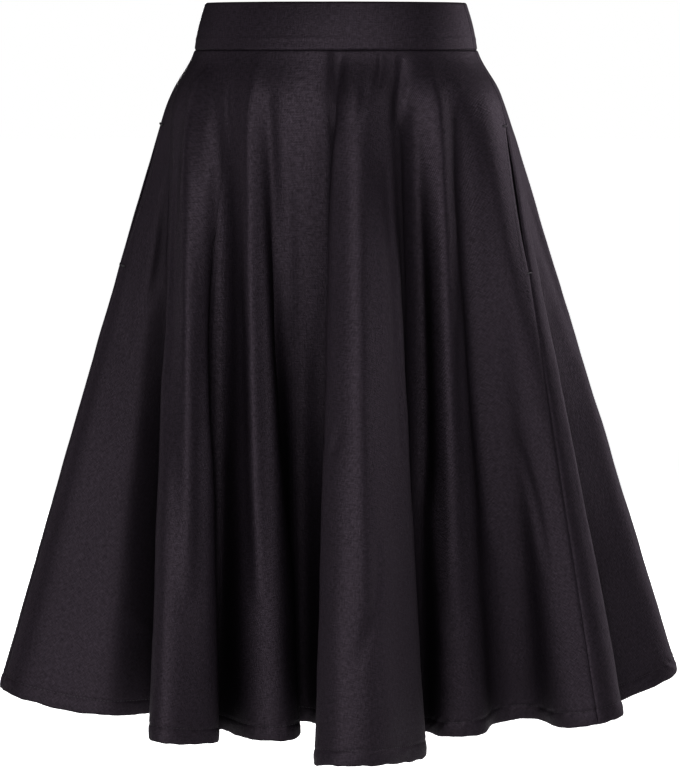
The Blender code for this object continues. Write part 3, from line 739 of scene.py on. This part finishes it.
def beside_edge(grid, normals, rows, last, distance):
    """Points and normals on some rows of a grid, at a distance from its first or last column."""
    run = run_along(grid)
    places = []
    for row in rows:
        at = run[row, -1] - distance if last else distance
        places.append(
            [np.interp(at, run[row], of[row, :, k]) for of in (grid, normals) for k in range(3)]
        )
    places = np.array(places)
    return places[:, :3], places[:, 3:]


def skirt_panel(name, node, first, last, finish, thread, gapes=(False, False)):
    """One panel of the skirt, with its hem's stitches and those beside its pocket slits."""
    columns, depths = HEM.columns(first, last), skirt_depths()
    grid = skirt_surface(columns, depths)
    shift = [SEAM_GAP / 2 + (pocket_gape(depths) if gape else 0 * depths) for gape in gapes]
    grid = drawn_back(grid, shift[0], POCKET_REACH)
    grid = drawn_back(grid[:, ::-1], shift[1], POCKET_REACH)[:, ::-1]
    outer = grid + grid_normals(grid) * skirt_relief(grid, columns, depths)[:, :, None]
    outer[:, :, 2] -= hem_waver(grid, depths)
    normals = grid_normals(outer)
    share = np.clip((depths - (CUT_LENGTH - HEM_DEPTH)) / (1.5 * MM), 0, 1)
    thickness = CLOTH_WALL + (HEM_WALL - CLOTH_WALL) * share
    thickness *= 1 - 0.5 * bell(CUT_LENGTH - depths, 1 * MM)
    inner = outer - normals * thickness[:, None, None]
    panel = shell(name, outer, inner, finish, cut_places(columns, depths))
    soft_piece(panel, "cloth", node)
    stitched = np.argmin(abs(depths - (CUT_LENGTH - STITCH_ABOVE_HEM)))
    rows = [stitch_row(outer[stitched], normals[stitched])]
    slit = np.flatnonzero((depths > POCKET_TOP) & (depths < POCKET_TOP + POCKET_OPENING))
    for gape, at_last in zip(gapes, (False, True)):
        if gape:
            rows.append(stitch_row(*beside_edge(outer, normals, slit, at_last, POCKET_STITCH_IN)))
    sector_sheet(panel, columns, [sewn(name + "_stitches", rows, thread)])


def beside_seam(seam, depths, across, inward):
    """Points across a seam under the cloth's outer face: a row for each depth."""
    steps = 48
    degrees = seam + np.linspace(-SEAM_SEARCH, SEAM_SEARCH, 2 * steps + 1)
    grid = skirt_surface(degrees, depths)
    grid = grid - grid_normals(grid) * inward
    run = run_along(grid)
    run -= run[:, steps:steps + 1]
    return np.array(
        [
            np.column_stack([np.interp(across, run[row], grid[row, :, k]) for k in range(3)])
            for row in range(len(depths))
        ]
    )


def seam_allowance(name, seam, first_depth, finish):
    """The pressed-open edges behind a seam, joined under its line."""
    body = np.arange(first_depth, CUT_LENGTH - HEM_DEPTH - 4 * MM, 6 * MM)
    depths = np.append(body, CUT_LENGTH - np.array([18, 15, 12, 8, 4, 2.2]) * MM)
    across = np.linspace(-SEAM_ALLOWANCE, SEAM_ALLOWANCE, 13)
    flat = np.stack(np.meshgrid(across, -depths), axis=2)
    wall = np.where(depths > CUT_LENGTH - HEM_DEPTH, HEM_WALL, CLOTH_WALL)[:, None, None]
    behind = wall + 2.3 * MM
    near = beside_seam(seam, depths, across, behind)
    far = beside_seam(seam, depths, across, behind + ALLOWANCE_WALL)
    strip = soft_piece(shell(name, near, far, finish, flat), "cloth")
    strip_sheet(strip, near, "laid")


def waist_allowance(finish):
    """The edges behind the waist seam, turned up inside the band."""
    degrees = np.linspace(CENTRE_BACK - 359.2, CENTRE_BACK - 0.8, 280)
    heights = -BAND_HEIGHT / 2 + np.linspace(9, -5, 15) * MM
    inward = (BAND_WALL + 0.3 * MM) * np.clip((heights + BAND_HEIGHT / 2) / (2 * MM), 0, 1)
    inward = np.maximum(inward, CLOTH_WALL + 0.3 * MM)
    rows = [
        [band_surface(degrees, heights[k:k + 1], inward[k] + extra)[0] for k in range(len(heights))]
        for extra in (0.0, ALLOWANCE_WALL)
    ]
    flat = np.stack(np.meshgrid(degrees * 2.2 * MM, heights), axis=2)
    strip = soft_piece(shell("waist_seam_allowance", *np.array(rows), finish, flat), "cloth")
    strip_sheet(strip, np.array(rows[0]), "folded")


def bar_tack(seam, depth, front_sign):
    """Close threads across a short bar, from just behind the seam into the front panel."""
    across = front_sign * np.linspace(-2.5 * MM, TACK_LENGTH - 2.5 * MM, 21)
    depths = depth + np.array([-1, 1]) * TACK_WIDTH / 2
    edges = beside_seam(seam, depths, across, -0.35 * MM)
    normals = edges - beside_seam(seam, depths, across, 0.65 * MM)
    return threads(edges[0], edges[1], normals[0] / MM, TACK_THREAD_RADIUS)


def centre_back_rows(across, deeper):
    """Points behind the centre-back edges, in rows down the waistband and the skirt."""
    heights = np.linspace(BAND_HEIGHT / 2 - 3 * MM, -BAND_HEIGHT / 2 + 0.5 * MM, 12)
    depths = np.linspace(8 * MM, ZIP_DEPTH, 44)
    degrees = CENTRE_BACK - np.degrees(across / SEAM_HALF_WIDTH)
    band = band_surface(degrees, heights, BAND_WALL + 0.6 * MM + deeper)
    skirt = beside_seam(CENTRE_BACK, depths, -across, 2.0 * MM + deeper)
    return np.concatenate([band, skirt])


def coil_turns(side):
    """The turns of the zip's coil on one tape, half a turn out of step with the other's."""
    span = side * np.array(COIL_SPAN) * MM
    lines = centre_back_rows(span, 1.1 * MM)
    above = centre_back_rows(span, 0.1 * MM)
    run = line_lengths(lines[:, 0])
    at = np.arange(4 * MM + (COIL_PITCH / 2 if side > 0 else 0), run[-1], COIL_PITCH)
    places = [
        np.column_stack([np.interp(at, run, values[:, k]) for k in range(3)])
        for values in (lines[:, 0], lines[:, 1], (lines - above)[:, 0] / MM)
    ]
    return threads(*places, COIL_RADIUS)


def zip_side(side, finish, thread):
    """One tape of the concealed zip and the coil along its edge."""
    across = side * np.linspace(0.03 * MM, ZIP_TAPE_WIDTH, 9)
    if side > 0:
        across = across[::-1]
    near, far = centre_back_rows(across, 0.0), centre_back_rows(across, ZIP_TAPE_WALL)
    flat = np.stack(np.meshgrid(across, -line_lengths(near[:, 0])), axis=2)
    name = "left" if side > 0 else "right"
    tape = shell(f"zip_tape_{name}_woven", near, far, finish, flat)
    soft_piece(tape, "zip_tape", f"zip_tape_{name}")
    coil = mesh_object(f"zip_coil_{name}", *coil_turns(side), thread)
    soft_piece(coil, "zip_tape")
    strip_sheet(tape, near, "laid", [coil])


PocketBag = namedtuple("PocketBag", "name seam x_outer y_front y_back front_sign")
POCKET_BAGS = (
    PocketBag("pocket_bag_right", RIGHT_SIDE_SEAM, -146, -44, 44, 1),
    PocketBag("pocket_bag_left", LEFT_SIDE_SEAM, 148, -42, 44, -1),
)


def rounded_path(points, rounds=3):
    """An open path with its corners cut round, its ends kept."""
    for _ in range(rounds):
        first = points[:-1] * 0.75 + points[1:] * 0.25
        second = points[:-1] * 0.25 + points[1:] * 0.75
        middle = np.stack([first, second], axis=1).reshape(-1, 3)
        points = np.concatenate([points[:1], middle[1:-1], points[-1:]])
    return points


def pocket_lips(bag, depths):
    """Where a bag's mouth is sewn on: its front and its back point at each depth of the slit."""
    gape = pocket_gape(depths)
    across = np.linspace(-14, 14, 57) * MM
    edges = beside_seam(bag.seam, depths, across, CLOTH_WALL + 0.9 * MM)
    lips = []
    for row in range(len(depths)):
        ends = bag.front_sign * np.array([gape[row] + LIP_OVERLAP, -LIP_OVERLAP])
        lips.append([[np.interp(end, across, edges[row, :, k]) for k in range(3)] for end in ends])
    return np.array(lips)


def pocket_bag(bag, finish):
    """A limp flat bag inside the skirt, its mouth sewn to the two edges of the slit."""
    side = math.copysign(1, bag.x_outer)
    outer_x = bag.x_outer * MM - side * 0.8 * MM
    front_y, back_y = bag.y_front * MM + 1 * MM, bag.y_back * MM - 1 * MM
    lips = pocket_lips(bag, np.linspace(POCKET_TOP, POCKET_TOP + POCKET_OPENING, 26))
    above = lips[0, 0, 2] + np.linspace(4, 1, 4) * MM
    below = np.linspace(lips[-1, 0, 2] - 3 * MM, POCKET_BOTTOM + 1 * MM, 12)
    heights = np.concatenate([above, lips[:, 0, 2], below])
    paths = []
    for level, height in enumerate(heights):
        row = level - len(above)
        front_lip, back_lip = lips[min(max(row, 0), len(lips) - 1)].copy()
        from_ends = min(heights[0] - height + 1.5 * MM, height - heights[-1] + 1 * MM)
        ease = np.clip(from_ends / BAG_EASE, 0, 1)
        fullness = BAG_THIN + (POCKET_FULLNESS - BAG_THIN) * math.sin(math.pi / 2 * ease)
        if not 0 <= row < len(lips):
            front_lip = np.array([outer_x, front_lip[1], height])
            back_lip = np.array([outer_x, front_lip[1] + 0.6 * MM, height])
        inner_x = outer_x - side * fullness
        corners = [
            front_lip,
            (outer_x, front_lip[1] - 1.5 * MM, height),
            (outer_x, front_y, height),
            (inner_x, front_y, height),
            (inner_x - side * 0.8 * MM, (front_y + back_y) / 2, height),
            (inner_x, back_y, height),
            (outer_x, back_y, height),
            (outer_x, back_lip[1] + 10 * MM, height),
            back_lip,
        ]
        paths.append(rounded_path(np.array(corners, float)))
    grid = np.array(paths)
    if side > 0:
        grid = grid[:, ::-1]
    grid = grid + grid_normals(grid) * (0.5 * MM * wander(grid, 26 * MM, 8))[:, :, None]
    inner = grid - grid_normals(grid) * BAG_WALL
    flat = np.stack([run_along(grid), grid[:, :, 2]], axis=2)
    made = soft_piece(shell(bag.name + "_cloth", grid, inner, finish, flat), "pocketing", bag.name)
    strip_sheet(made, grid, "folded")


def band_surface(degrees, heights, inward=0.0):
    """Points of the waistband's outer face, or inward of it, rows down from its top edge."""
    share = (BAND_HEIGHT / 2 - heights) / BAND_HEIGHT
    crown = BAND_CROWN * np.sin(math.pi * share) - inward
    half_width = BAND_TOP_HALF_WIDTH + (SEAM_HALF_WIDTH - BAND_TOP_HALF_WIDTH) * share + crown
    half_depth = BAND_TOP_HALF_DEPTH + (SEAM_HALF_DEPTH - BAND_TOP_HALF_DEPTH) * share + crown
    angle = np.radians(degrees)
    return np.stack(
        [
            half_width[:, None] * np.cos(angle),
            half_depth[:, None] * np.sin(angle),
            np.repeat(heights[:, None], len(angle), axis=1),
        ],
        axis=2,
    )


def band_piece(name, node, first, last, finish):
    """One piece of the waistband, its top edge rolled and its lower edge pressed into the seam."""
    edge = np.array([0, 0.4, 0.9, 1.6, 2.6]) * MM
    heights = np.concatenate(
        [
            BAND_HEIGHT / 2 - edge,
            np.linspace(BAND_HEIGHT / 2 - 4 * MM, -BAND_HEIGHT / 2 + 4 * MM, 30),
            (-BAND_HEIGHT / 2 + SEAM_GAP / 2 + edge)[::-1],
        ]
    )
    degrees = np.linspace(first, last, int((last - first) / 1.2))
    beside = [first + step for step in EDGE_DEGREES] + [last - step for step in EDGE_DEGREES]
    degrees = np.unique(np.round(np.concatenate([degrees, beside]), 4))
    grid = band_surface(degrees, heights)
    gap = np.full(len(heights), SEAM_GAP / 2)
    grid = drawn_back(grid, gap, 20 * MM)
    grid = drawn_back(grid[:, ::-1], gap, 20 * MM)[:, ::-1]
    below_top = (BAND_HEIGHT / 2 - heights)[:, None]
    above_seam = (heights + BAND_HEIGHT / 2)[:, None]
    rolled = 0.9 * MM * bell(below_top, 1.0 * MM)
    pressed = 1.1 * MM * bell(above_seam, 1.2 * MM)
    relief = -rolled - pressed + 0.35 * MM * bell(above_seam - 11 * MM, 1.6 * MM)
    relief = relief + 0.35 * MM * wander(grid, 30 * MM, 3) + seam_relief(grid)
    outer = grid + grid_normals(grid) * relief[:, :, None]
    thickness = BAND_WALL - rolled - pressed
    inner = outer - grid_normals(grid) * thickness[:, :, None]
    run = run_along(grid)
    flat = np.stack([run - run[:, -1:] / 2, grid[:, :, 2]], axis=2)
    made = soft_piece(shell(name, outer, inner, finish, flat), "cloth", node)
    strip_sheet(made, grid, "laid")


# ---------------------------------------------------------------- materials

SLUB_RANGE = (0.7, 1.3)  # the noise of warp and weft together
PAINTED_SHADE_REACH = 0.09  # metres within which other cloth darkens the colour and gleam: painted shade in the folds' hollows
GLEAM_COLOUR = (1.0, 0.8, 1.0)


def node(tree, kind, **settings):
    """A new shader node with the given inputs and settings."""
    made = tree.nodes.new(kind)
    for name, value in settings.items():
        if name in made.inputs:
            made.inputs[name].default_value = value
        else:
            setattr(made, name, value)
    return made


def mapped(tree, value, low, high, to_low, to_high):
    """A value carried from one range to another and held at its ends."""
    made = node(tree, "ShaderNodeMapRange")
    limits = {"From Min": low, "From Max": high, "To Min": to_low, "To Max": to_high}
    for name, limit in limits.items():
        made.inputs[name].default_value = limit
    tree.links.new(value, made.inputs["Value"])
    return made.outputs["Result"]


def shaded(tree, colour, shade):
    """A colour multiplied by a shade."""
    made = node(tree, "ShaderNodeMix", data_type="RGBA", blend_type="MULTIPLY")
    made.inputs[0].default_value = 1.0
    made.inputs[6].default_value = (*colour, 1)
    tree.links.new(shade, made.inputs[7])
    return made.outputs[2]


def woven_cloth(name, colour, sheen, roughness):
    """A tightly woven cloth: fine slubs both ways, a diagonal weave and uneven dye.

    Its colour and its gleam are darkened in the hollows of the folds by an ambient occlusion node: painted shade.
    """
    made = bpy.data.materials.new(name)
    made.use_nodes = True
    tree = made.node_tree
    shader = tree.nodes["Principled BSDF"]
    shader.inputs["Sheen Weight"].default_value = sheen
    shader.inputs["Sheen Roughness"].default_value = 0.45
    shader.inputs["Sheen Tint"].default_value = (0.80, 0.78, 0.86, 1)
    shader.inputs["Specular IOR Level"].default_value = 0.4
    place = node(tree, "ShaderNodeUVMap", uv_map="cut")

    def noise_along(scale, detail=2.0):
        mapping = node(tree, "ShaderNodeMapping")
        mapping.inputs["Scale"].default_value = scale
        tree.links.new(place.outputs["UV"], mapping.inputs["Vector"])
        grain = node(tree, "ShaderNodeTexNoise", Scale=1.0, Detail=detail, Roughness=0.6)
        tree.links.new(mapping.outputs["Vector"], grain.inputs["Vector"])
        return grain.outputs["Fac"]

    def joined(kind, a, b):
        join = node(tree, "ShaderNodeMath", operation=kind)
        for socket, value in zip(join.inputs, (a, b)):
            if isinstance(value, float):
                socket.default_value = value
            else:
                tree.links.new(value, socket)
        return join.outputs["Value"]

    slubs = joined("ADD", noise_along((760, 190, 1)), noise_along((190, 760, 1)))
    thickness = mapped(tree, slubs, *SLUB_RANGE, 0.35, 1.75)
    dye = mapped(tree, noise_along((11, 14, 1), 3.0), 0.3, 0.7, 0.88, 1.12)
    # painted shade: ambient occlusion darkens the cloth's colour where other cloth is near, in the folds' hollows
    painted_shade_ao = node(tree, "ShaderNodeAmbientOcclusion", samples=6, Distance=PAINTED_SHADE_REACH)
    hollow = mapped(tree, painted_shade_ao.outputs["AO"], 0.3, 0.92, 0.1, 1.0)
    shade = joined("MULTIPLY", joined("MULTIPLY", thickness, dye), hollow)
    tree.links.new(shaded(tree, colour, shade), shader.inputs["Base Color"])
    # the gleam varies with the slubs and is darkened by the same painted shade in the hollows
    gleam_grain_and_shade = joined("MULTIPLY", mapped(tree, slubs, *SLUB_RANGE, 0.62, 1.0), hollow)
    tree.links.new(shaded(tree, GLEAM_COLOUR, gleam_grain_and_shade), shader.inputs["Specular Tint"])
    rough = mapped(tree, slubs, *SLUB_RANGE, roughness + 0.05, roughness - 0.05)
    tree.links.new(rough, shader.inputs["Roughness"])
    twill = node(tree, "ShaderNodeTexWave", wave_type="BANDS", bands_direction="DIAGONAL")
    twill.inputs["Scale"].default_value = 420.0
    twill.inputs["Distortion"].default_value = 0.6
    tree.links.new(place.outputs["UV"], twill.inputs["Vector"])
    height = joined("ADD", joined("MULTIPLY", twill.outputs["Fac"], 0.35), slubs)
    bump = node(tree, "ShaderNodeBump", Strength=0.7, Distance=0.0005)
    tree.links.new(height, bump.inputs["Height"])
    tree.links.new(bump.outputs["Normal"], shader.inputs["Normal"])
    return made


def enamel(name):
    """Black enamel on the zip's metal, a little uneven in colour and gloss."""
    made = bpy.data.materials.new(name)
    made.use_nodes = True
    tree = made.node_tree
    shader = tree.nodes["Principled BSDF"]
    shader.inputs["Specular IOR Level"].default_value = 0.2
    place = node(tree, "ShaderNodeTexCoord")
    grain = node(tree, "ShaderNodeTexNoise", Scale=900.0, Detail=3.0)
    tree.links.new(place.outputs["Object"], grain.inputs["Vector"])
    ramp = node(tree, "ShaderNodeValToRGB")
    dark, light = ramp.color_ramp.elements
    dark.position, dark.color = 0.35, (0.008, 0.008, 0.009, 1)
    light.position, light.color = 0.75, (0.02, 0.019, 0.018, 1)
    tree.links.new(grain.outputs["Fac"], ramp.inputs["Fac"])
    tree.links.new(ramp.outputs["Color"], shader.inputs["Base Color"])
    rough = mapped(tree, grain.outputs["Fac"], 0.0, 1.0, 0.42, 0.6)
    tree.links.new(rough, shader.inputs["Roughness"])
    return made


def plain(name, colour, roughness):
    """One even colour and roughness, for thread and for the floor."""
    made = bpy.data.materials.new(name)
    made.use_nodes = True
    shader = made.node_tree.nodes["Principled BSDF"]
    shader.inputs["Base Color"].default_value = (*colour, 1)
    shader.inputs["Roughness"].default_value = roughness
    return made


# ---------------------------------------------------------------- studio

def soft_light(name, place, aim, size, power, colour=(1.0, 1.0, 1.0)):
    """A square soft light at a place, facing another."""
    light = bpy.data.lights.new(name, "AREA")
    light.shape = "RECTANGLE"
    light.size, light.size_y = size
    light.energy = power
    light.color = colour
    lamp = bpy.data.objects.new(name, light)
    lamp.location = place
    lamp.rotation_euler = (Vector(aim) - Vector(place)).to_track_quat("-Z", "Y").to_euler()
    lamp.visible_camera = False
    bpy.context.scene.collection.objects.link(lamp)


def white_to_camera(tree, unseen, socket):
    """Gives a strength of 1 to what the camera sees, and this much to what lights the cloth."""
    path = node(tree, "ShaderNodeLightPath")
    seen = mapped(tree, path.outputs["Is Camera Ray"], 0.0, 1.0, unseen, 1.0)
    tree.links.new(seen, socket)


def studio():
    """A plain white floor and surround, soft lights and the camera."""
    corners = np.array([(-30, -30, -1), (30, -30, -1), (-30, 30, -1), (30, 30, -1)], float)
    pale = plain("pale_floor", (0.85, 0.85, 0.85), 0.8)
    shader = pale.node_tree.nodes["Principled BSDF"]
    shader.inputs["Emission Color"].default_value = (1.0, 1.0, 1.0, 1)
    white_to_camera(pale.node_tree, 0.0, shader.inputs["Emission Strength"])
    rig.stage(mesh_object("floor", corners, quads(2, 2), pale))
    scene = bpy.context.scene
    scene.view_settings.view_transform = "Standard"
    world = bpy.data.worlds.new("world")
    scene.world = world
    world.use_nodes = True
    background = world.node_tree.nodes["Background"]
    background.inputs["Color"].default_value = (1.0, 1.0, 1.0, 1)
    white_to_camera(world.node_tree, 0.012, background.inputs["Strength"])
    soft_light("key_light", (-0.12, -3.4, 0.3), (0, 0, -0.35), (0.7, 0.7), 82)
    dusk = (1.0, 0.86, 1.0)
    soft_light("left_light", (-2.3, 0.5, 0.2), (-0.2, 0, -0.4), (0.6, 1.0), 5, dusk)
    soft_light("right_light", (2.1, 1.3, 0.2), (0.2, 0, -0.4), (0.6, 1.0), 14, dusk)
    soft_light("back_light", (-0.3, 3.2, 0.4), (0, 0, -0.35), (0.7, 0.7), 72)
    camera = bpy.data.cameras.new("camera")
    camera.lens = 139.4
    camera.sensor_width = 36.0
    holder = bpy.data.objects.new("camera", camera)
    holder.location = (0.004, -3.0, -0.0235)
    holder.rotation_euler = (math.radians(90 - 6.41), 0, 0)
    scene.collection.objects.link(holder)
    scene.camera = holder


# ---------------------------------------------------------------- build

def build():
    """Every piece of the skirt, its finishes and the studio round it."""
    studio()
    cloth = woven_cloth("black_cotton_satin", (0.0062, 0.0047, 0.0068), 0.0, 0.57)
    pocketing = woven_cloth("black_pocketing", (0.010, 0.0095, 0.011), 0.05, 0.8)
    tape = woven_cloth("black_zip_tape", (0.011, 0.0105, 0.011), 0.05, 0.75)
    thread = plain("black_thread", (0.012, 0.010, 0.013), 0.45)
    enamelled = enamel("black_enamel")
    right, left, back = RIGHT_SIDE_SEAM, LEFT_SIDE_SEAM, CENTRE_BACK
    skirt_panel("skirt_front", "front_panel", right, left, cloth, thread, (True, True))
    skirt_panel("skirt_back_left", "back_panel_left", left, back, cloth, thread)
    skirt_panel("skirt_back_right", "back_panel_right", back, right + 360, cloth, thread)
    band_piece("band_front", "waistband_front", right, left, cloth)
    band_piece("band_back_left", "waistband_back_left", left, back, cloth)
    band_piece("band_back_right", "waistband_back_right", back, right + 360, cloth)
    waist_allowance(cloth)
    below_pocket = POCKET_TOP + POCKET_OPENING + 6 * MM
    seam_allowance("right_seam_allowance", right, below_pocket, cloth)
    seam_allowance("left_seam_allowance", left, below_pocket, cloth)
    seam_allowance("back_seam_allowance", back, ZIP_DEPTH + 4 * MM, cloth)
    tacks = [
        bar_tack(bag.seam, depth, bag.front_sign)
        for bag in POCKET_BAGS
        for depth in (POCKET_TOP, POCKET_TOP + POCKET_OPENING)
    ]
    sewn("bar_tacks", tacks, thread)
    for bag in POCKET_BAGS:
        pocket_bag(bag, pocketing)
    for side in (-1, 1):
        zip_side(side, tape, enamelled)
    for name in ("zip_slider", "zip_pull"):
        for slot in frame["nodes"][name].material_slots:
            slot.material = enamelled


build()
with open("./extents.json", "w") as sizes:
    json.dump({"cad": [list(v) for v in cad_box], "visual": [list(v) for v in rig.bounds()]}, sizes)
